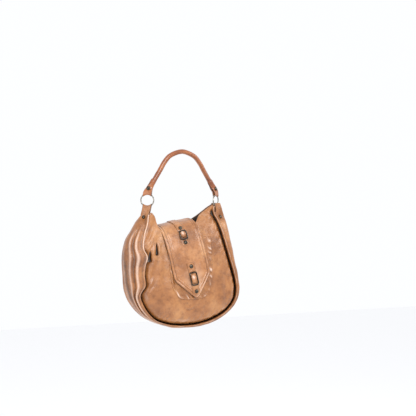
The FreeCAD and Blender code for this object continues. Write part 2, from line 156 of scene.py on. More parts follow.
# %% Form
#        below  left  right depth
FORM = [(0.0, 108.0, 117.0, 3.5),
        (20.0, 115.0, 124.0, 6.5),
        (40.0, 122.0, 130.0, 10.5),
        (62.0, 140.0, 136.5, 24.0),
        (85.0, 154.0, 141.5, 33.0),
        (108.0, 167.0, 145.0, 39.5),
        (140.0, 173.0, 152.0, 46.0),
        (175.0, 174.0, 159.0, 51.0),
        (208.0, 171.0, 167.0, 54.5),
        (238.0, 167.0, 171.0, 57.5),
        (262.0, 159.0, 170.0, 57.5),
        (285.0, 146.0, 160.0, 55.0),
        (305.0, 130.0, 144.0, 50.0),
        (322.0, 110.0, 121.0, 44.0),
        (337.0, 80.0, 92.0, 35.0),
        (350.0, 30.0, 36.0, 24.0)]
SQUARENESS = 2.6


def half_width(below, side):
    row = lookup(FORM, below)
    return row[1] if side < 0 else row[2]


def depth_at(x, below):
    """Half depth of the filled body at a place in the front view."""
    row = lookup(FORM, min(max(below, 0.0), 349.9))
    half = row[1] if x < 0 else row[2]
    share = min(abs(x) / half, 0.985)
    return row[3] * (1 - share ** SQUARENESS) ** (1 / SQUARENESS)


print("widest:", max(row[1] + row[2] for row in FORM), "mm")

# %% [markdown]
# ## Sheets of leather
# A leather panel could be drawn vertex by vertex, but a grid that is bent into place keeps its
# squares in order, which folds, seams and subdivision all need. The helper takes a function
# from (0..1, 0..1) to a place and records a painted light value, which the leather finish turns
# into painted shade where it is high and a painted highlight where it is below zero.

# %% Sheet helper


def new_object(name, bm, smooth=True):
    mesh = bpy.data.meshes.new(name)
    bm.to_mesh(mesh)
    bm.free()
    obj = bpy.data.objects.new(name, mesh)
    scene.collection.objects.link(obj)
    if smooth:
        mesh.shade_smooth()
    return obj


def sheet_mesh(name, across, down, place, painted_light_of=None, flip=False):
    """A grid bent by place(u, v), with an optional painted light value (painted shade or highlight)
    for each vertex.
    """
    bm = bmesh.new()
    bmesh.ops.create_grid(bm, x_segments=across, y_segments=down, size=0.5)
    layer = bm.verts.layers.float.new("painted_light")
    for vert in bm.verts:
        u = vert.co.x + 0.5
        v = vert.co.y + 0.5
        if painted_light_of:
            vert[layer] = painted_light_of(u, v)
        vert.co = place(u, v)
    if flip:
        bmesh.ops.reverse_faces(bm, faces=bm.faces)
    return new_object(name, bm)


def thicken(obj, thickness, offset=-1.0, levels=0):
    """Give a sheet its leather wall, and smooth it."""
    wall = obj.modifiers.new("wall", "SOLIDIFY")
    wall.thickness = thickness * MM
    wall.offset = offset
    wall.use_even_offset = False
    if levels:
        smooth = obj.modifiers.new("smooth", "SUBSURF")
        smooth.levels = levels
        smooth.render_levels = levels
    return obj


# %% [markdown]
# ## Seam lines
# The round panels are sewn to the gusset along one long seam, from the left corner round the
# bottom to the right corner. The mouth's edge closes the front panel at the top.

# %% Seams
# each row is across and below, from the left corner round the bottom to the right one
def in_floats(points):
    return [tuple(map(float, p)) for p in points]


FRONT_SEAM = in_floats([
    (-102, 37), (-112, 66), (-123, 92), (-129, 115), (-129, 134), (-122, 149), (-122, 160),
    (-128, 176), (-131, 200), (-129, 228), (-137, 243), (-141, 258), (-131, 283), (-115, 305),
    (-93, 324), (-66, 335), (-38, 341), (0, 343), (32, 341), (62, 335), (90, 325), (112, 314),
    (131, 299), (146, 277), (151, 252), (149, 226), (141, 196), (130, 160), (118, 118),
    (108, 80), (100, 54), (93, 36), (92, 20), (99, 7)])
FRONT_MOUTH = in_floats([
    (-102, 37), (-95, 34), (-88, 43), (-87, 60), (-81, 78), (-66, 86), (-40, 83), (0, 76),
    (22, 70), (33, 58), (47, 41), (64, 29), (82, 18), (99, 7)])
BACK_SEAM = in_floats([
    (-102, 37), (-114, 80), (-132, 120), (-143, 165), (-144, 215), (-138, 255), (-120, 295),
    (-90, 325), (-45, 342), (0, 346), (48, 342), (95, 324), (126, 294), (143, 255), (145, 215),
    (139, 165), (124, 120), (110, 76), (101, 40), (99, 7)])
BACK_MOUTH = in_floats([
    (-102, 37), (-92, 55), (-66, 72), (-40, 69), (0, 62), (30, 54), (56, 36), (80, 18), (99, 7)])
LEFT_LEVELS = (38, 62, 85, 108, 140, 175, 208, 238, 262, 285, 305, 322, 337)
RIGHT_LEVELS = (337, 322, 305, 285, 262, 238, 208, 175, 140, 108, 85, 62, 42, 20, 7)
OUTER = [(-half_width(b, -1), b) for b in LEFT_LEVELS]
OUTER += [(-40.0, 349.0), (0.0, 351.0), (46.0, 349.0)]
OUTER += [(half_width(b, 1), b) for b in RIGHT_LEVELS]
ALONG = 240
front_seam = walk(FRONT_SEAM, ALONG + 1)
back_seam = walk(BACK_SEAM, ALONG + 1)
outer_line = walk(OUTER, ALONG + 1)
print("front seam %.0f mm" % sum((q - p).length for p, q in zip(front_seam, front_seam[1:])))


def patch(seam, mouth, count):
    """A smooth map from the unit square to the panel inside a seam and a mouth edge."""
    steps = len(seam) - 1
    side_steps = 90
    left = walk([tuple(p) for p in seam[:side_steps + 1:6]], count + 1)
    bottom = walk([tuple(p) for p in seam[side_steps:steps - side_steps + 1:6]], count + 1)
    right = walk([tuple(p) for p in seam[::-1][:side_steps + 1:6]], count + 1)
    top = walk(mouth, count + 1)

    def side_point(side, share):
        where = min(max(share, 0.0), 1.0) * count
        i = min(int(where), count - 1)
        return side[i].lerp(side[i + 1], where - i)

    corners = (top[0], top[-1], bottom[0], bottom[-1])

    def place(u, v):
        """u runs from left to right, v from the bottom up to the mouth."""
        down = 1 - v
        lofted = side_point(left, down).lerp(side_point(right, down), u)
        lofted += side_point(top, u).lerp(side_point(bottom, u), down)
        a, b, c, d = corners
        return lofted - a.lerp(b, u).lerp(c.lerp(d, u), down)

    return place


def distance_to(line, x, below):
    """Distance in mm from a place to a seam line, read at its points."""
    here = Vector((x, below))
    return min((p - here).length for p in line)

# %% [markdown]
# ## Finishes
# Waxed leather is uneven in every way that shows: the dye lies in clouds and the grain is pebbled.
# Folds and grooves get painted shade and ridges get painted highlights. One function mixes all of that
# from noise in object space and from the painted light values that the sheets carry, so no picture is
# needed.

# %% Leather finish


def node(tree, kind, **values):
    """A shader node with its properties and sockets set by name."""
    made = tree.nodes.new(kind)
    for name, value in values.items():
        if name in made.inputs:
            made.inputs[name].default_value = value
        elif hasattr(made, name):
            setattr(made, name, value)
    return made


def socket(made, name, value):
    made.inputs[name].default_value = value


def new_material(name):
    mat = bpy.data.materials.new(name)
    mat.use_nodes = True
    return mat, mat.node_tree, mat.node_tree.nodes["Principled BSDF"]


def noise_node(tree, coords, scale, detail=3.0, rough=0.5):
    made = node(tree, "ShaderNodeTexNoise")
    socket(made, "Scale", scale)
    socket(made, "Detail", detail)
    socket(made, "Roughness", rough)
    tree.links.new(coords, made.inputs["Vector"])
    return made


def ramp_node(tree, factor, stops):
    made = tree.nodes.new("ShaderNodeValToRGB")
    ramp = made.color_ramp
    while len(ramp.elements) < len(stops):
        ramp.elements.new(0.5)
    for element, (place, colour) in zip(ramp.elements, stops):
        element.position = place
        element.color = (*colour, 1.0)
    tree.links.new(factor, made.inputs["Fac"])
    return made


def mix_colour(tree, factor, first, second, blend="MIX"):
    made = tree.nodes.new("ShaderNodeMix")
    made.data_type = "RGBA"
    made.blend_type = blend
    sockets = [s for s in made.inputs if s.type == "RGBA"]
    for place, value in zip(sockets, (first, second)):
        if hasattr(value, "is_linked"):
            tree.links.new(value, place)
        else:
            place.default_value = (*value, 1.0)
    if hasattr(factor, "is_linked"):
        tree.links.new(factor, made.inputs[0])
    else:
        made.inputs[0].default_value = factor
    return [s for s in made.outputs if s.type == "RGBA"][0]


def leather(name, deep, middle, pale, gloss=0.34, grain=1.0):
    """Glazed leather in three tones, with painted shade where the sheet's painted light value is high
    and a painted highlight where it is below zero.
    """
    mat, tree, shader = new_material(name)
    coords = tree.nodes.new("ShaderNodeTexCoord").outputs["Object"]
    clouds = noise_node(tree, coords, 16.0, 5.0, 0.62)
    tones = ramp_node(tree, clouds.outputs["Fac"], [(0.30, deep), (0.50, middle), (0.72, pale)])
    mottle = noise_node(tree, coords, 75.0, 4.0, 0.65)
    spots = ramp_node(tree, mottle.outputs["Fac"],
                      [(0.33, (0.60, 0.55, 0.52)), (0.52, (1.0, 1.0, 1.0))])
    colour = mix_colour(tree, 0.65, tones.outputs["Color"], spots.outputs["Color"], "MULTIPLY")
    painted_light = tree.nodes.new("ShaderNodeAttribute")
    painted_light.attribute_name = "painted_light"
    # painted shade: a near-black of the deep tone, mixed in where the painted light value is high
    dark = tuple(0.10 * c for c in deep)
    painted_shade = tree.nodes.new("ShaderNodeMapRange")
    painted_shade.inputs["From Min"].default_value = 0.08
    painted_shade.inputs["From Max"].default_value = 0.85
    tree.links.new(painted_light.outputs["Fac"], painted_shade.inputs["Value"])
    colour = mix_colour(tree, painted_shade.outputs["Result"], colour, dark)
    # painted highlight: a pale pinkish tone, mixed in where the painted light value is below zero
    painted_highlight = tree.nodes.new("ShaderNodeMapRange")
    painted_highlight.inputs["From Min"].default_value = -0.05
    painted_highlight.inputs["From Max"].default_value = -0.9
    tree.links.new(painted_light.outputs["Fac"], painted_highlight.inputs["Value"])
    light = tuple(min(0.45 * c + 0.50 * t, 1.0) for c, t in zip(pale, (1.0, 0.82, 0.72)))
    colour = mix_colour(tree, painted_highlight.outputs["Result"], colour, light)
    tree.links.new(colour, shader.inputs["Base Color"])
    socket(shader, "Roughness", gloss)
    socket(shader, "Coat Weight", 0.30)
    socket(shader, "Coat Roughness", 0.22)
    socket(shader, "Specular IOR Level", 0.5)
    pebbles = tree.nodes.new("ShaderNodeTexVoronoi")
    socket(pebbles, "Scale", 620.0)
    tree.links.new(coords, pebbles.inputs["Vector"])
    wrinkles = noise_node(tree, coords, 130.0, 6.0, 0.7)
    fine = tree.nodes.new("ShaderNodeBump")
    socket(fine, "Strength", 0.22 * grain)
    socket(fine, "Distance", 0.0006)
    tree.links.new(pebbles.outputs["Distance"], fine.inputs["Height"])
    broad = tree.nodes.new("ShaderNodeBump")
    socket(broad, "Strength", 0.42 * grain)
    socket(broad, "Distance", 0.0026)
    tree.links.new(wrinkles.outputs["Fac"], broad.inputs["Height"])
    tree.links.new(fine.outputs["Normal"], broad.inputs["Normal"])
    tree.links.new(broad.outputs["Normal"], shader.inputs["Normal"])
    return mat


TAN = leather("tan_leather", (0.19, 0.064, 0.016), (0.335, 0.130, 0.038), (0.47, 0.215, 0.075))
FLAP_TAN = leather("flap_leather", (0.23, 0.084, 0.025), (0.385, 0.158, 0.055),
                   (0.53, 0.265, 0.115), 0.30)
COGNAC = leather("handle_leather", (0.15, 0.036, 0.009), (0.28, 0.082, 0.021),
                 (0.42, 0.155, 0.045), 0.28, 0.6)
print("leathers:", TAN.name, FLAP_TAN.name, COGNAC.name)

# %% [markdown]
# The metal parts are plated in a dark antique finish that is rubbed bright here and there. The
# cloth parts are dull: a fine weave in the bump and a sheen are enough at their size.

# %% Metal, cloth and thread finishes


def metal(name, dark, bright, roughness):
    mat, tree, shader = new_material(name)
    coords = tree.nodes.new("ShaderNodeTexCoord").outputs["Object"]
    rubbed = noise_node(tree, coords, 210.0, 4.0, 0.6)
    tones = ramp_node(tree, rubbed.outputs["Fac"], [(0.38, dark), (0.66, bright)])
    tree.links.new(tones.outputs["Color"], shader.inputs["Base Color"])
    socket(shader, "Metallic", 1.0)
    socket(shader, "Roughness", roughness)
    relief = tree.nodes.new("ShaderNodeBump")
    socket(relief, "Strength", 0.15)
    socket(relief, "Distance", 0.0003)
    tree.links.new(rubbed.outputs["Fac"], relief.inputs["Height"])
    tree.links.new(relief.outputs["Normal"], shader.inputs["Normal"])
    return mat


def cloth(name, colour, weave):
    mat, tree, shader = new_material(name)
    coords = tree.nodes.new("ShaderNodeTexCoord").outputs["Object"]
    threads = tree.nodes.new("ShaderNodeTexWave")
    socket(threads, "Scale", weave)
    socket(threads, "Distortion", 0.6)
    tree.links.new(coords, threads.inputs["Vector"])
    shades = noise_node(tree, coords, 90.0)
    tones = ramp_node(tree, shades.outputs["Fac"],
                      [(0.3, tuple(0.7 * c for c in colour)), (0.7, colour)])
    tree.links.new(tones.outputs["Color"], shader.inputs["Base Color"])
    socket(shader, "Roughness", 0.85)
    socket(shader, "Sheen Weight", 0.25)
    relief = tree.nodes.new("ShaderNodeBump")
    socket(relief, "Strength", 0.25)
    socket(relief, "Distance", 0.0004)
    tree.links.new(threads.outputs["Fac"], relief.inputs["Height"])
    tree.links.new(relief.outputs["Normal"], shader.inputs["Normal"])
    return mat


RING_METAL = metal("ring_metal", (0.10, 0.095, 0.085), (0.42, 0.39, 0.33), 0.26)
STUD_METAL = metal("stud_metal", (0.020, 0.017, 0.014), (0.15, 0.13, 0.10), 0.20)
KEEPER_METAL = metal("keeper_metal", (0.012, 0.011, 0.010), (0.11, 0.10, 0.085), 0.20)
ZIP_METAL = metal("zip_metal", (0.30, 0.28, 0.25), (0.68, 0.66, 0.62), 0.32)
SNAP_METAL = metal("snap_metal", (0.34, 0.33, 0.31), (0.62, 0.61, 0.58), 0.30)
LINING_CLOTH = cloth("lining_cloth", (0.075, 0.045, 0.030), 420.0)
TAPE_CLOTH = cloth("zip_tape", (0.030, 0.022, 0.018), 900.0)
BOARD = cloth("board", (0.060, 0.045, 0.035), 300.0)
THREAD = cloth("thread", (0.27, 0.105, 0.040), 1500.0)
print("metals and cloths: 9")

# %% [markdown]
# ## The front and back panels
# On the real bag each panel is one round piece of soft hide, gathered where it meets the seam.
# A cloth simulation could drape it, but the folds would then fall where they like. These folds
# are placed one by one: two pleats below the left corner, the soft valleys that hang from them,
# the pull of the flap's snap, and the gather at the foot.

# %% Front panel
PLEATS = [(-94.0, 116.0, 147.0, 7.0), (-114.0, 136.0, 165.0, 8.0)]
VALLEYS = [(-94.0, 150.0, 60.0, 9.0, 2.6), (-80.0, 165.0, 55.0, 12.0, 1.8),
           (-108.0, 205.0, 40.0, 10.0, 1.8), (45.0, 312.0, 22.0, 6.0, 1.8),
           (78.0, 170.0, 60.0, 10.0, 1.6), (98.0, 150.0, 60.0, 9.0, 1.8),
           (112.0, 215.0, 45.0, 9.0, 1.4), (-60.0, 305.0, 22.0, 8.0, 1.2)]


def folds(x, below):
    """Depth of the placed folds in mm, positive into the bag, and their painted light value: painted
    shade in the pleats and valleys, a painted highlight by the crescent.
    """
    depth = 0.0
    painted_light = 0.0
    for middle, top, foot, deep in PLEATS:
        share = (below - top) / (foot - top)
        if -0.3 < share < 1.6:
            width = 1.0 + 3.6 * min(max(share, 0.05), 1.0)
            window = fade(share, -0.1, 0.25) * (1 - fade(share, 0.92, 1.12))
            lean = (x - middle) + 2.0 * (share - 0.5)
            depth += deep * window * bump(lean, width)
            depth -= 1.4 * window * (bump(lean - 7, 4.0) + bump(lean + 7, 4.0))
            # painted shade down the inside of each pleat
            painted_light += 1.6 * window * bump(lean, width * 0.85)
    for middle, level, reach, width, deep in VALLEYS:
        hold = bump(below - level, reach)
        depth += deep * hold * bump(x - middle, width)
        beside = bump(x - middle - 1.8 * width, width) + bump(x - middle + 1.8 * width, width)
        depth -= 0.55 * deep * hold * beside
        # painted shade along each valley's bottom
        painted_light += 0.07 * deep * hold * bump(x - middle, width * 0.5)
    bow = below - (299.0 - 0.03 * (x + 2) ** 2)
    crescent = bump(x + 2, 14.0)
    depth += 2.2 * crescent * bump(bow, 3.0) - 1.6 * crescent * bump(bow + 6, 4.0)
    # painted shade on the crescent fold and a painted highlight just above it
    painted_light += 0.35 * crescent * bump(bow, 2.0) - 0.95 * crescent * bump(bow + 4.5, 2.6)
    return depth, painted_light


def panel_point(x, below, seam, side, inner=0.0):
    """Place of a panel's leather; side is -1 at the front and 1 at the back."""
    edge = distance_to(seam, x, below)
    deep = depth_at(x, below)
    fold, painted_light = folds(x, below) if side < 0 else (0.0, 0.0)
    relief = 1.6 * waves(x, side * 30, below, 46.0, 3.1) + 0.75 * waves(x, side * 30, below, 17.0, 8.3)
    relief += 1.5 * waves(x * 1.9, side * 30, below * 0.5, 34.0, 5.7) * fade(edge, 4, 30)
    near = fade(edge, 2.0, 13.0)
    hidden = fade(below, 18, 36) if x > 0 else 0.18 + 0.82 * fade(below, 128, 142)
    ripple = math.sin(x * 0.33 + below * 0.21 + 3 * waves(x, 0, below, 60.0))
    gather = 1.1 * ripple * bump(edge - 12, 11)
    tuck = 8.5 * (1 - near) * hidden
    push = (relief * near - fold * near + gather)
    gap = 5.0 + 3.2 * fade(below, 120, 250)
    # painted shade in the groove where the panel runs in under the gusset's lip
    painted_light = max(painted_light, 1.25 * (1 - fade(edge, 1.0, gap)) * hidden)
    # pale patches a little inside the seam: painted highlights on the puckers
    pale = -0.45 * bump(edge - 14, 5) * max(0.0, waves(x, 5, below, 22.0, 1.7))
    return (x, side * max(deep - tuck + push - inner, 0.6), below), painted_light + pale


front_patch = patch(front_seam, FRONT_MOUTH, 90)
back_patch = patch(back_seam, BACK_MOUTH, 90)


def panel_sheet(name, mapping, seam, side, across, down, inner=0.0):
    known = {}

    def both(u, v):
        if (u, v) not in known:
            x, below = mapping(u, v)
            known[u, v] = panel_point(x, below, seam, side, inner)
        return known[u, v]

    obj = sheet_mesh(name, across, down, lambda u, v: at(*both(u, v)[0]),
                     lambda u, v: both(u, v)[1], side > 0)
    return obj


front_panel = panel_sheet("front_panel_leather", front_patch, front_seam, -1, 210, 190)
back_panel = panel_sheet("back_panel_leather", back_patch, back_seam, 1, 120, 110)
for panel, cad in ((front_panel, "front_panel"), (back_panel, "back_panel")):
    thicken(panel, 1.6, -1.0)
    panel.data.materials.append(TAN)
    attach(panel, "bag")
    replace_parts(panel, cad)
print("panels:", len(front_panel.data.polygons), len(back_panel.data.polygons))

# %% [markdown]
# ## The gusset band with its turned lips
# The band runs from corner to corner round the bag. Its two edges are turned up and sewn, so
# each panel sits in a groove behind a wavy lip. The groove's darkness is painted shade, and the
# lip's crest and the side's ridges carry painted highlights. One profile is carried along the seam. It
# bends out from the seam over the lip's crest, down to a valley, and round to the other side.

# %% Gusset
LIP = [(0.00, -1.5, 9.0), (0.06, -0.6, 5.0), (0.12, 0.0, 1.5), (0.17, 0.8, -2.0), (0.22, 2.4, -3.6),
       (0.28, 4.4, -2.8), (0.33, 6.2, -0.8), (0.38, 7.8, 0.0)]
LIP_END = 0.38


def gusset_point(u, v, inner=0.0):
    """u runs along the seam from the left corner, v from the front seam to the back one."""
    i = round(u * ALONG)
    side = -1 if v < 0.5 else 1
    seam = front_seam[i] if side < 0 else back_seam[i]
    outer = outer_line[i]
    out = outer - seam
    span = out.length
    out = out / span
    t = 2 * min(v, 1 - v)
    deep = depth_at(seam.x, seam.y)
    shrink = min(1.0, span / 14.0)
    wavy = 1.1 * waves(seam.x, side * 20, seam.y, 15.0, 2.2)
    wavy += 0.8 * waves(seam.x, side * 20, seam.y, 32.0, 6.2)
    painted_light = 0.0
    if t < LIP_END:
        row = lookup(LIP, t)
        q, rise = row[1] * shrink, row[2]
        lip_part = bump(t - 0.22, 0.10)
        place = seam + out * (q + wavy * lip_part)
        y = deep - rise - inner + 0.9 * lip_part * wavy
        open_gap = fade(seam.y, 18, 36) if seam.x > 0 else 0.18 + 0.82 * fade(seam.y, 128, 142)
        # painted shade in the groove behind the lip, painted highlights on the lip's crest and on the
        # upper left lip, and a painted shade line where the lip meets the side
        painted_light = 1.15 * (1 - fade(t, 0.09, 0.17)) * (open_gap if side < 0 else 1.0)
        painted_light -= 0.40 * bump(t - 0.22, 0.045) * fade(wavy, -0.5, 0.6)
        upper_left = (1 - fade(u, 0.10, 0.24)) if side < 0 else 0.0
        painted_light -= 0.85 * upper_left * bump(t - 0.20, 0.07)
        painted_light += 0.42 * bump(t - 0.345, 0.045)
    else:
        w = (t - LIP_END) / (1 - LIP_END)
        turn = w * math.pi / 2
        q0 = 7.8 * shrink
        start = seam + out * q0
        share = math.sin(turn) ** 0.92
        place = start.lerp(outer, share)
        y = deep * math.cos(turn) ** 0.8
        left = 1 - fade(u, 0.30, 0.46)
        full = fade(place.y, 62, 110) * (1 - fade(place.y, 296, 330))
        drift = 0.05 * waves(0, 0, place.y, 70.0, 4.0)
        ridges = 3.2 * bump(w - 0.26 - drift, 0.085) - 3.6 * bump(w - 0.43 - drift, 0.085)
        ridges += 2.8 * bump(w - 0.60 - drift, 0.09) - 2.2 * bump(w - 0.80, 0.10)
        push = ridges * full * (left if side < 0 else 0.6 * left)
        push += 1.5 * waves(place.x, y * side, place.y, 40.0, 9.0) * fade(w, 0, 0.2)
        push += 0.6 * waves(place.x, y * side, place.y, 13.0, 4.4) * fade(w, 0, 0.2)
        push -= inner
        place = place + out * push * math.sin(turn)
        y = max(y + push * math.cos(turn), 0.0)
        if side < 0:
            # left side: a painted highlight low by the lip, painted shade on the far lower side and in
            # the fold's valley, painted highlights on the two ridges
            glow = left * fade(place.y, 225, 262) * (1 - fade(place.y, 308, 330))
            painted_light = -0.55 * glow * bump(w - 0.10, 0.09)
            low_side = fade(place.y, 140, 180) * (1 - fade(place.y, 262, 292))
            painted_light += 0.55 * left * low_side * bump(w - 0.92, 0.12)
            painted_light += 0.50 * left * full * bump(w - 0.43 - drift, 0.05)
            painted_light -= 0.62 * left * full * bump(w - 0.24 - drift, 0.065)
            painted_light -= 0.50 * left * full * bump(w - 0.60 - drift, 0.050)
        # a painted shade line where the lip turns into the side
        painted_light += 0.42 * bump(w, 0.03)
        seat = bump(math.hypot(abs(place.x) - 117.0, place.y - 46.0), 11.0) if side < 0 else 0.0
        y = max(y - 7.5 * seat, 0.0)
    return (place.x, side * y, place.y), painted_light


def gusset_sheet(name, down, inner=0.0):
    known = {}

    def both(u, v):
        key = (round(u * ALONG), round(v * down))
        if key not in known:
            known[key] = gusset_point(key[0] / ALONG, key[1] / down, inner)
        return known[key]

    return sheet_mesh(name, ALONG, down, lambda u, v: at(*both(u, v)[0]),
                      lambda u, v: both(u, v)[1], True)


gusset = gusset_sheet("gusset_leather", 112)
thicken(gusset, 1.6, -1.0)
gusset.data.materials.append(TAN)
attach(gusset, "bag")
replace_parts(gusset, "gusset", "front_lip", "back_lip")
print("gusset:", len(gusset.data.polygons))

# %% [markdown]
# ## The flap
# The flap is one long tongue of hide. It is sewn on behind the mouth, comes over the crest and
# hangs down the front, a little out of plumb. Its side view is the same line that the CAD flap
# follows, so the hinge at its root serves this leather too.

# %% Flap
FLAP_SIDE = [(24.0, 59.0), (12.0, 58.0), (0.0, 59.5), (-14.0, 63.0), (-28.6, 71.5),
             (-40.0, 87.0), (-47.4, 108.0), (-53.0, 135.0), (-57.3, 168.0), (-61.3, 205.0),
             (-64.3, 238.0), (-64.5, 266.0)]
flap_line = walk(FLAP_SIDE, 401)
FLAP_HALF = 55.0
LEAN = math.radians(11)
LEAN_LEVEL = 197.0


def lean(x, y, below):
    """The flap is shaped upright and then turned in the front view."""
    down = below - LEAN_LEVEL
    turned_x = x * math.cos(LEAN) + down * math.sin(LEAN)
    turned_below = LEAN_LEVEL + down * math.cos(LEAN) - x * math.sin(LEAN)
    return (turned_x, y, turned_below)


def on_flap(where, x, offset):
    """A point over the flap's line: where counts its points, offset is outwards in mm."""
    where = min(max(where, 0.0), 399.999)
    i = int(where)
    spot = flap_line[i].lerp(flap_line[i + 1], where - i)
    ahead = flap_line[min(i + 4, 400)] - flap_line[max(i - 3, 0)]
    normal = Vector((-ahead.y, ahead.x)).normalized()
    sag = 2.2 * (abs(x) / FLAP_HALF) ** 2.4
    spot = spot + normal * (offset - sag)
    return lean(x, spot.x, spot.y)


def line_place(below):
    """Where the flap's line reaches a level on the bag's front."""
    return next(i for i, p in enumerate(flap_line) if i > 60 and p.y >= below - 1e-6 or i == 400)


def flap_end(c):
    """Level of the flap's free edge for c from -1 at the left side to 1 at the right."""
    slope = math.sqrt(c * c + 0.006) - math.sqrt(0.006)
    return 266.0 - 64.0 * slope - 5.0 * fade(abs(c), 0.90, 1.0)


flap_ends = [line_place(flap_end(i / 40 - 1)) for i in range(81)]


def flap_relief(x, below, edge):
    """Turned edge, stitched groove and soft unevenness of the flap, and their painted light value:
    painted shade along the edge and in the stitched grooves, painted highlights on the turned edge and
    low on the flap's middle.
    """
    push = 0.9 * bump(edge - 3.4, 2.4) - 1.6 * bump(edge, 1.4) - 1.3 * bump(edge - 7.6, 1.2)
    push += 0.5 * bump(edge - 10.5, 2.0) - 0.6 * bump(edge - 14.0, 1.2)
    push += 1.5 * waves(x, 60, below, 44.0, 11.0) + 0.7 * waves(x, 60, below, 16.0, 12.5)
    # painted shade in the stitched grooves and along the very edge, and a patchy painted highlight on
    # the turned edge
    painted_light = 0.50 * bump(edge - 7.6, 0.9) + 0.20 * bump(edge - 14.0, 0.8) + 0.5 * bump(edge, 0.9)
    painted_light -= 0.30 * bump(edge - 3.6, 1.4) * fade(waves(x, 3, below, 24.0, 2.0), -0.2, 0.5)
    # a patchy painted highlight low on the middle of the flap
    painted_highlight = fade(waves(x, 7, below, 36.0, 6.0), -0.6, 0.5)
    painted_light -= 0.32 * bump(below - 225, 50) * bump(x, 34) * painted_highlight
    return push, painted_light


def flap_point(u, v, offset):
    c = 2 * u - 1
    x = FLAP_HALF * c
    end = glide([(e,) for e in flap_ends], (c + 1) * 40)[0]
    where = 4 + (end - 4) * v
    below = flap_line[min(int(where), 400)].y if where > 60 else 60.0
    side_edge = FLAP_HALF - abs(x)
    foot_edge = (end - where) * 0.66 * 0.72
    edge = min(side_edge, foot_edge)
    push, painted_light = flap_relief(x, below, edge)
    return at(*on_flap(where, x, offset + push)), painted_light


def flap_sheet(name, across, down, offset):
    known = {}

    def both(u, v):
        if (u, v) not in known:
            known[u, v] = flap_point(u, v, offset)
        return known[u, v]

    return sheet_mesh(name, across, down, lambda u, v: both(u, v)[0], lambda u, v: both(u, v)[1], True)


flap = flap_sheet("flap_leather", 96, 220, 3.2)
thicken(flap, 1.8, -1.0)
flap.data.materials.append(FLAP_TAN)
flap_lining = flap_sheet("flap_lining_cloth", 40, 90, 1.2)
thicken(flap_lining, 0.5, -1.0)
flap_lining.data.materials.append(LINING_CLOTH)
for piece, cad, name in ((flap, "flap", "tan_leather"), (flap_lining, "flap_lining", "lining_cloth")):
    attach(piece, "flap")
    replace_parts(piece, cad)
print("flap:", len(flap.data.polygons))

# %% [markdown]
# Two narrow straps lie on the flap. Each is held by a stud at both ends and swells up through a
# rectangular keeper ring. Their levels are read from the studs and rings that the CAD placed.

# %% Straps on the flap
STRAP_HALF = 11.0


def upright_level(z):
    return LEAN_LEVEL + (RING_Z - z / MM - LEAN_LEVEL) / math.cos(LEAN)


def strap_levels(name):
    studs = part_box(name + "_studs")
    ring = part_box(name + "_ring")
    upper = upright_level(studs[1].z) + 5.5
    lower = upright_level(studs[0].z) - 5.5
    return upper, upright_level((ring[0].z + ring[1].z) / 2), lower


def strap_sheet(name, start, levels, swell_half):
    _, middle, lower = levels
    finish = line_place(lower + 9.0)
    swell = line_place(middle)

    def both(u, v):
        c = 2 * u - 1
        x = STRAP_HALF * c
        round_end = 9.0 * (1 - math.sqrt(max(0.0, 1 - c * c * 0.98)))
        where = start + (finish - round_end - start) * v
        from_swell = (where - swell) * 0.72
        hump = 1 - (x / 8.6) ** 2 - (from_swell / swell_half) ** 2
        push = 6.2 * math.sqrt(hump) if hump > 0 else 0.0
        pinch = bump(abs(from_swell) - swell_half - 2.0, 2.5)
        push -= 1.0 * pinch
        edge = STRAP_HALF - abs(x)
        push += 0.35 * waves(x, 80, where, 9.0, 4.0)
        push -= 0.8 * bump(edge, 1.2) + 0.5 * bump(edge - 2.8, 0.6)
        # painted shade where the strap dives under the keeper and along its edges, and a painted
        # highlight on the swell
        painted_light = 0.55 * pinch + 0.5 * bump(edge, 0.8)
        painted_light -= 0.75 * bump(x + 2, 3.5) * bump(from_swell + 4, 6.0)
        return at(*on_flap(where, x, 5.2 + push)), painted_light

    obj = sheet_mesh(name, 28, 110, lambda u, v: both(u, v)[0], lambda u, v: both(u, v)[1], True)
    thicken(obj, 2.0, -1.0)
    obj.data.materials.append(FLAP_TAN)
    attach(obj, "flap")
    return obj


top_levels = strap_levels("top_strap")
front_levels = strap_levels("front_strap")
top_strap = strap_sheet("top_strap_leather", 6, top_levels, 10.0)
front_strap = strap_sheet("front_strap_leather", line_place(front_levels[0] - 9.0), front_levels, 15.0)
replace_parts(top_strap, "top_strap")
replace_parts(front_strap, "front_strap")
print("strap levels:", [round(v) for v in top_levels + front_levels])

# %% [markdown]
# ## The shield and the flap's root
# Under the flap a U-shaped shield is sewn to the front panel, puckered all along its seam. At
# the back a strip covers the line where the flap is sewn on.

# %% Shield and root strip


def shield_both(u, v):
    c = 2 * u - 1
    foot = 271.0 - 34.0 * abs(c) ** 4
    below = 100.0 + (foot - 100.0) * v
    x = 3.0 + c * (68.0 - 9.0 * v ** 3)
    place, painted_light = panel_point(x, below, front_seam, -1, -1.3)
    edge = min((1 - abs(c)) * 62.0, (foot - below) * (1 - 0.4 * abs(c)))
    pucker = bump(edge - 6.0, 6.0) * math.sin(0.30 * (below - x) + 5 * waves(x, 9, below, 26.0))
    raised = 1.5 * bump(edge - 4.5, 4.0) - 1.9 * bump(edge, 1.6) + 1.0 * pucker
    # painted shade along the shield's edge and painted highlights on the puckers
    painted_light += 0.45 * bump(edge, 1.5)
    painted_light -= 0.80 * max(0.0, pucker) * fade(waves(x, 4, below, 30.0, 3.0), -0.2, 0.3)
    return at(place[0], place[1] - raised, place[2]), painted_light


shield = sheet_mesh("shield_leather", 110, 130, lambda u, v: shield_both(u, v)[0],
                    lambda u, v: shield_both(u, v)[1], True)
thicken(shield, 1.2, -1.0)
shield.data.materials.append(TAN)


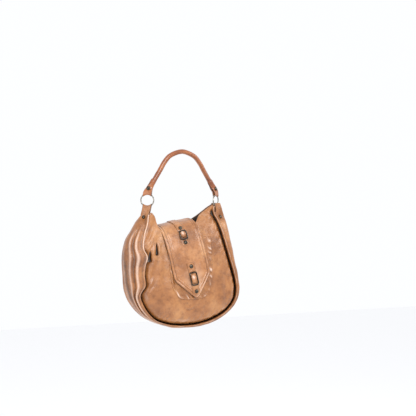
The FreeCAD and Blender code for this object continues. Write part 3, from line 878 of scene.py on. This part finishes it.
def root_place(u, v):
    """A strip that lies on the back panel, from under the flap's root down to a curved foot."""
    c = 2 * u - 1
    foot = 108.0 - 14.0 * abs(c) ** 5
    x, _, below = lean(46.0 * c, 0.0, 62.0 + (foot - 62.0) * v)
    (_, y, _), _ = panel_point(x, below, back_seam, 1, -1.5)
    lift = 1 - fade(v, 0.0, 0.22)
    return at(x, y * (1 - lift) + 26.5 * lift, below)


root_strip = sheet_mesh("flap_root_leather", 30, 30, root_place)
thicken(root_strip, 1.6, 0.0)
root_strip.data.materials.append(TAN)
for piece, cad in ((shield, "front_shield"), (root_strip, "flap_base")):
    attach(piece, "bag")
    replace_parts(piece, cad)
print("shield:", len(shield.data.polygons))

# %% [markdown]
# ## Lining, pocket and zip
# The lining is a cloth bag inside the leather one. It takes the shape of the panels and the
# gusset, 3 mm further in. The zip's tapes are sewn along the mouth, with one small block of
# metal for each tooth.

# %% Lining and pocket
lining_front = panel_sheet("lining_front_cloth", front_patch, front_seam, -1, 44, 40, 3.4)
lining_back = panel_sheet("lining_back_cloth", back_patch, back_seam, 1, 44, 40, 3.4)
lining_side = gusset_sheet("lining_side_cloth", 30, 4.4)
for piece in (lining_front, lining_back, lining_side):
    thicken(piece, 0.5, 0.0)
    piece.data.materials.append(LINING_CLOTH)
    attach(piece, "bag")
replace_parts(lining_front, "lining")


def pocket_place(u, v):
    x = -58.0 + 116.0 * u
    below = 210.0 - 86.0 * v
    return at(x, depth_at(x, below) - 8.0 - 2.0 * math.sin(math.pi * u) * v, below)


pocket = sheet_mesh("slip_pocket_cloth", 24, 18, pocket_place)
thicken(pocket, 0.6, 0.0)
pocket.data.materials.append(LINING_CLOTH)
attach(pocket, "bag")
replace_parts(pocket, "slip_pocket")

# %% Zip
ZIP_HALF = 50.0
ZIP_MIDDLE = (-19.0, 73.0)


def zip_place(run, side, lift):
    """A place on the zip: run along it, side -1 or 1, lift above the mouth's edge."""
    x = ZIP_MIDDLE[0] + run * math.cos(LEAN)
    below = ZIP_MIDDLE[1] - run * math.sin(LEAN)
    low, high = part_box("front_zip_tape" if side < 0 else "back_zip_tape")
    y = (low.y if side < 0 else high.y) / MM
    share = 1 - (run / (ZIP_HALF * 1.25)) ** 2
    return (x, (y + side * -2.0) * (0.82 + 0.18 * share), below - lift - 0.25 * y)


def zip_tape(name, side):
    def place(u, v):
        return at(*zip_place(-ZIP_HALF + 2 * ZIP_HALF * u, side, -11.0 + 13.0 * v))

    obj = sheet_mesh(name, 40, 6, place)
    thicken(obj, 0.5, 0.0)
    obj.data.materials.append(TAPE_CLOTH)
    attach(obj, "bag")
    return obj


def zip_teeth(name, side):
    bm = bmesh.new()
    for step in range(41):
        made = bmesh.ops.create_cube(bm, size=1.0)["verts"]
        centre = at(*zip_place(-ZIP_HALF + 2.5 * step, side, 3.0))
        for vert in made:
            taper = 1.0 - 0.35 * (vert.co.y * -side > 0)
            vert.co = centre + Vector((vert.co.x * 1.3 * taper, vert.co.y * 2.6, vert.co.z * 2.0)) * MM
    obj = new_object(name, bm, smooth=False)
    obj.data.materials.append(ZIP_METAL)
    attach(obj, "bag")
    return obj


for side, end in ((-1, "front"), (1, "back")):
    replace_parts(zip_tape(end + "_zip_tape_cloth", side), end + "_zip_tape")
    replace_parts(zip_teeth(end + "_zip_teeth_metal", side), end + "_zip_teeth")
print("zip teeth: 82")

# %% [markdown]
# ## Handle
# The handle is a strip of hide rolled round a cord and closed by one long seam. A tube swept
# along the handle's line carries the seam as a groove, and slight kinks where the leather is bent.

# %% Rolled handle
ROLL_R = 7.0
HANDLE_LINE = [(-RING_X + 15, -46.0), (-RING_X + 36, -79.0), (-RING_X + 52, -105.0),
               (-RING_X + 71, -123.5), (0.0, RING_Z - ROLL_R)]
HANDLE_LINE += [(-x, below) for x, below in reversed(HANDLE_LINE[:-1])]
HANDLE_STEPS = 240
handle_line = walk(HANDLE_LINE, HANDLE_STEPS + 1)


def handle_frame(share):
    i = min(max(round(share * HANDLE_STEPS), 0), HANDLE_STEPS)
    spot = handle_line[i]
    ahead = handle_line[min(i + 3, HANDLE_STEPS)] - handle_line[max(i - 3, 0)]
    ahead = Vector((ahead.x, 0, -ahead.y)).normalized()
    outwards = Vector((-ahead.z, 0, ahead.x))
    return at(spot.x, 0, spot.y), ahead, outwards


SEAM_TURN = -2.25                # the seam faces forwards and a little down, seen round the roll


def roll_point(share, turn, extra=0.0):
    centre, _, outwards = handle_frame(share)
    off_seam = math.atan2(math.sin(turn - SEAM_TURN), math.cos(turn - SEAM_TURN))
    radius = ROLL_R - 0.55 + 0.22 * waves(share * 300, math.cos(turn) * 9, math.sin(turn) * 9, 14.0)
    radius += 0.55 * bump(abs(off_seam) - 0.24, 0.16) - 1.0 * bump(off_seam, 0.07) + extra
    return centre + (outwards * math.cos(turn) + Vector((0, 1, 0)) * math.sin(turn)) * radius * MM


bm = bmesh.new()
layer = bm.verts.layers.float.new("painted_light")
ROUND = 48
rings = []
for i in range(HANDLE_STEPS + 1):
    ring = []
    for k in range(ROUND):
        turn = 2 * math.pi * k / ROUND
        vert = bm.verts.new(roll_point(i / HANDLE_STEPS, turn))
        off_seam = math.atan2(math.sin(turn - SEAM_TURN), math.cos(turn - SEAM_TURN))
        # painted shade in the seam's groove and a painted highlight stripe beside it
        vert[layer] = 0.75 * bump(off_seam, 0.08) - 0.35 * bump(off_seam + 0.9, 0.22)
        ring.append(vert)
    rings.append(ring)
for first, second in zip(rings, rings[1:]):
    for k in range(ROUND):
        bm.faces.new((first[k], first[(k + 1) % ROUND], second[(k + 1) % ROUND], second[k]))
bm.faces.new(rings[0])
bm.faces.new(rings[-1])
bmesh.ops.recalc_face_normals(bm, faces=bm.faces)
roll = new_object("handle_roll_leather", bm)
roll.data.materials.append(COGNAC)
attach(roll, "handle")
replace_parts(roll, "handle_roll", "handle_core")
print("roll:", len(roll.data.polygons))

# %% [markdown]
# ## Leather loops on the rings
# Above each ring a strap end folds round the wire and narrows into the roll. Below it the
# gusset's end does the same and is riveted to the bag. Both are one ribbon: down the outside,
# round the wire and back up the inside, with a width direction that turns on the way.

# %% Ribbons round the rings


def ring_axes(side):
    facing = Vector((side * math.cos(RING_TWIST), -math.sin(RING_TWIST), 0))
    across = Vector((-math.sin(RING_TWIST) * side, -math.cos(RING_TWIST), 0))
    return facing, across


ROLL_WRAP = 1.45  # radians either side of the middle where the strap closes round the roll


def ribbon(name, side, up, route, back_share=1.0):
    """A folded strap through a ring. Route rows: middle x y below, facing x y z, width x y z,
    half width, gap from the middle, how far it closes round the roll."""
    arm, arc = 34, 14
    total = 2 * arm + arc

    def layer_point(share, c, face_sign):
        s = min(max(share, 0.0), 1.0)
        row = glide(route, s * (len(route) - 1))
        spot = Vector((side * row[0], row[1], 0)) * MM + Vector((0, 0, (RING_Z - row[2]) * MM))
        normal = Vector((side * row[3], row[4], row[5])).normalized()
        wide = Vector((side * row[6], row[7], row[8]))
        wide = (wide - normal * wide.dot(normal)).normalized()
        half, offset, rounded = row[9], row[10], row[11]
        arched = (normal * math.cos(c * ROLL_WRAP) * face_sign + wide * math.sin(c * ROLL_WRAP))
        arched *= offset * MM
        flat = (normal * offset * face_sign + wide * half * c) * MM
        hang = RING_R - math.sqrt(max(RING_R ** 2 - (half * c) ** 2, 0.0))
        drop = Vector((0, 0, -up * hang * MM)) * (1 - fade(s, 0.0, 0.35))
        return spot + flat.lerp(arched, rounded) + drop

    def place(u, v):
        c = 2 * u - 1
        k = v * total
        if k <= arm:
            return layer_point(1 - k / arm, c, 1)
        if k >= arm + arc:
            return layer_point((k - arm - arc) / arm * back_share, c, -1)
        turn = math.pi * (k - arm) / arc
        first = layer_point(0.0, c, 1)
        last = layer_point(0.0, c, -1)
        middle = first.lerp(last, 0.5)
        sag = Vector((0, 0, -up * 3.1 * MM * math.sin(turn)))
        return middle + (first - middle) * math.cos(turn) + sag

    # painted shade along the strap's edges and in a line just inside them
    def painted_light_of(u, v):
        edge = min(u, 1 - u) * 24
        return 0.5 * bump(edge, 0.8) + 0.25 * bump(edge - 3, 0.5)

    obj = sheet_mesh(name, 20, total, place, painted_light_of)
    return thicken(obj, 2.0, 0.0)


for side, end in ((-1, "left"), (1, "right")):
    f, w = ring_axes(1)
    up_route = [(RING_X, 0, -RING_R, f.x, f.y, 0.0, w.x, w.y, 0.0, 12.0, 3.1, 0.0),
                (RING_X - 1.5, 0, -RING_R - 6, f.x, f.y - 0.1, 0.1, w.x, w.y, 0.0, 11.6, 3.1, 0.0),
                (RING_X - 6.0, 0, -RING_R - 14, 0.35, -0.93, 0.1, -0.93, -0.3, -0.1, 10.2, 3.6, 0.1),
                (RING_X - 11.0, 0, -RING_R - 22, 0.12, -1.0, 0.0, -0.87, -0.1, -0.45, 8.2, 5.0, 0.45),
                (RING_X - 16.5, 0, -RING_R - 31, 0.0, -1.0, 0.0, -0.84, 0.0, -0.54, 7.0, 6.9, 1.0),
                (RING_X - 20.0, 0, -RING_R - 37, 0.0, -1.0, 0.0, -0.84, 0.0, -0.54, 6.4, 6.1, 1.0)]
    loop = ribbon(end + "_handle_end_leather", side, 1, up_route)
    loop.data.materials.append(COGNAC)
    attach(loop, "handle")
    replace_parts(loop, end + "_handle_end")
    down_route = [(RING_X, 0, RING_R, f.x, f.y, 0.0, w.x, w.y, 0.0, 12.0, 3.1, 0.0),
                  (RING_X + 2.5, 0, RING_R + 8, f.x, f.y, 0.1, w.x, w.y, 0.1, 12.0, 3.1, 0.0),
                  (RING_X + 5.5, 0, RING_R + 18, 0.80, -0.56, 0.2, -0.52, -0.82, 0.1, 12.6, 2.6, 0.0),
                  (RING_X + 8.5, 0, RING_R + 29, 0.90, -0.36, 0.25, -0.40, -0.90, 0.1, 13.0, 2.0, 0.0),
                  (RING_X + 12.0, 0, RING_R + 41, 0.93, -0.28, 0.3, -0.30, -0.95, 0.1, 13.0, 1.8, 0.0)]
    if side > 0:
        down_route[2:] = [
            (RING_X + 5.0, 0, RING_R + 16, 0.40, -0.92, 0.1, -0.92, -0.40, 0.0, 11.0, 2.0, 0.0),
            (RING_X + 6.0, 0, RING_R + 24, 0.20, -0.98, 0.0, -0.98, -0.20, 0.0, 10.0, 1.6, 0.0)]
    tab = ribbon(end + "_tab_leather", side, -1, down_route, 0.55)
    tab.data.materials.append(TAN)
    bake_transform(tab)
    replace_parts(tab, end + "_tab")
print("ring loops: 4")

# %% [markdown]
# ## Stitches
# Each stitch is a small grain of thread laid along the seam. They are only twenty faces each,
# because there are hundreds of them.

# %% Stitches


def stitches(name, lines, body, pitch=3.4, long=2.2, thick=0.50):
    bm = bmesh.new()
    count = 0
    for line in lines:
        length = sum((q - p).length for p, q in zip(line, line[1:])) / MM
        places = walk([tuple(p) for p in line], max(int(length / pitch), 2) * 2 + 1)
        for first, last in zip(places[0:-1:2], places[1::2]):
            made = bmesh.ops.create_icosphere(bm, subdivisions=1, radius=0.5)["verts"]
            turn = (last - first).to_track_quat("X", "Z")
            middle = first.lerp(last, 0.5)
            for vert in made:
                grain = Vector((vert.co.x * long, vert.co.y * thick, vert.co.z * thick))
                vert.co = middle + (turn @ grain) * MM
            count += 1
    obj = new_object(name, bm)
    obj.data.materials.append(THREAD)
    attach(obj, body)
    print(name, count, "stitches")
    return obj


def flap_seam(side, inset, offset):
    """A line a little inside the flap's edge, from its crest to the tip."""
    line = []
    c = side * (1 - inset / FLAP_HALF)
    end = glide([(e,) for e in flap_ends], (c + 1) * 40)[0] - inset * 1.9
    for step in range(31):
        where = 40 + (end - 40) * step / 30
        line.append(at(*on_flap(where, c * FLAP_HALF, offset)))
    for step in range(1, 12):
        along = c * (1 - step / 11)
        foot = glide([(e,) for e in flap_ends], (along + 1) * 40)[0] - inset * 1.9
        line.append(at(*on_flap(foot, along * FLAP_HALF, offset)))
    return line


def strap_seam(start, levels, side):
    finish = line_place(levels[2] + 6.0)
    return [at(*on_flap(start + (finish - start) * i / 30, side * 8.3, 5.4)) for i in range(31)]


flap_lines = [flap_seam(side, 5.2, 3.9) for side in (-1, 1)]
flap_lines += [strap_seam(20, top_levels, side) for side in (-1, 1)]
flap_lines += [strap_seam(line_place(front_levels[0] - 7.0), front_levels, side) for side in (-1, 1)]
stitches("flap_stitches", flap_lines, "flap")
shield_line = []
for step in range(61):
    share = step / 60
    c = math.cos(math.pi * (1 - share)) * 0.95
    v = min(0.93, 0.25 + 1.5 * math.sin(math.pi * share) ** 0.6)
    shield_line.append(shield_both((c + 1) / 2, v)[0] + Vector((0, -0.0001, 0)))
stitches("shield_stitches", [shield_line], "bag")
roll_lines = [[roll_point(0.03 + 0.94 * i / 80, SEAM_TURN - 0.26, 0.25) for i in range(81)]]
stitches("handle_stitches", roll_lines, "handle")

# %% [markdown]
# ## Finishes on the CAD's own parts
# Rings, studs, slider, pull, snap and base board keep their CAD shapes and get their finish here.

# %% Finish the metal parts
NODE_FINISH = {"left_ring": RING_METAL, "right_ring": RING_METAL,
               "top_strap_ring": KEEPER_METAL, "front_strap_ring": KEEPER_METAL,
               "left_handle_stud": STUD_METAL, "right_handle_stud": STUD_METAL,
               "left_tab_stud": STUD_METAL, "right_tab_stud": STUD_METAL,
               "top_strap_studs": STUD_METAL, "front_strap_studs": STUD_METAL,
               "zip_slider": ZIP_METAL, "zip_pull": ZIP_METAL,
               "snap_cap": SNAP_METAL, "snap_socket": SNAP_METAL, "base_board": BOARD}
for name, finish in NODE_FINISH.items():
    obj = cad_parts[name]
    obj.data.materials.clear()
    obj.data.materials.append(finish)
print("finished nodes:", len(NODE_FINISH))

# %% [markdown]
# ## Studio
# The bag hangs before a plain white background with soft light from the front, a little from
# above. The floor is far below, so it only sends light back up. The camera stands to the left
# of the front with a long lens, so that the bag keeps its proportions.

# %% Camera, lights and floor


def look_from(azimuth, elevation, distance, target):
    a, e = math.radians(azimuth), math.radians(elevation)
    away = Vector((math.sin(a) * math.cos(e), -math.cos(a) * math.cos(e), math.sin(e)))
    return Vector(target) + distance * away


CENTRE = (0.0, 0.0, -0.240)
camera = bpy.data.objects.new("camera", bpy.data.cameras.new("camera"))
scene.collection.objects.link(camera)
camera.location = look_from(-26.0, 2.0, 2.6, CENTRE)
camera.rotation_euler = (Vector(CENTRE) - camera.location).to_track_quat("-Z", "Y").to_euler()
camera.data.lens = 81.4
camera.data.shift_x = 0.0623
camera.data.shift_y = 0.0798
scene.camera = camera
scene.view_settings.view_transform = "Standard"


def area_light(name, azimuth, elevation, distance, watts, wide):
    light = bpy.data.lights.new(name, "AREA")
    light.energy = watts
    light.size = wide
    obj = bpy.data.objects.new(name, light)
    scene.collection.objects.link(obj)
    obj.location = look_from(azimuth, elevation, distance, CENTRE)
    obj.rotation_euler = (Vector(CENTRE) - obj.location).to_track_quat("-Z", "Y").to_euler()
    return obj


area_light("key", -8.0, 26.0, 2.2, 26.0, 0.9)
area_light("fill", -72.0, 12.0, 2.2, 12.0, 1.2)
area_light("rim", 60.0, 30.0, 2.0, 9.0, 0.8)
world = bpy.data.worlds.new("studio")
world.use_nodes = True
world.node_tree.nodes["Background"].inputs["Color"].default_value = (0.93, 0.94, 0.96, 1.0)
world.node_tree.nodes["Background"].inputs["Strength"].default_value = 1.06
scene.world = world
bm = bmesh.new()
bmesh.ops.create_grid(bm, x_segments=1, y_segments=1, size=6.0)
floor = new_object("studio_floor", bm, smooth=False)
floor.location = (0.0, 0.0, -1.25)
mat, tree, shader = new_material("studio_floor")
socket(shader, "Base Color", (0.95, 0.95, 0.955, 1.0))
socket(shader, "Roughness", 0.9)
floor.data.materials.append(mat)
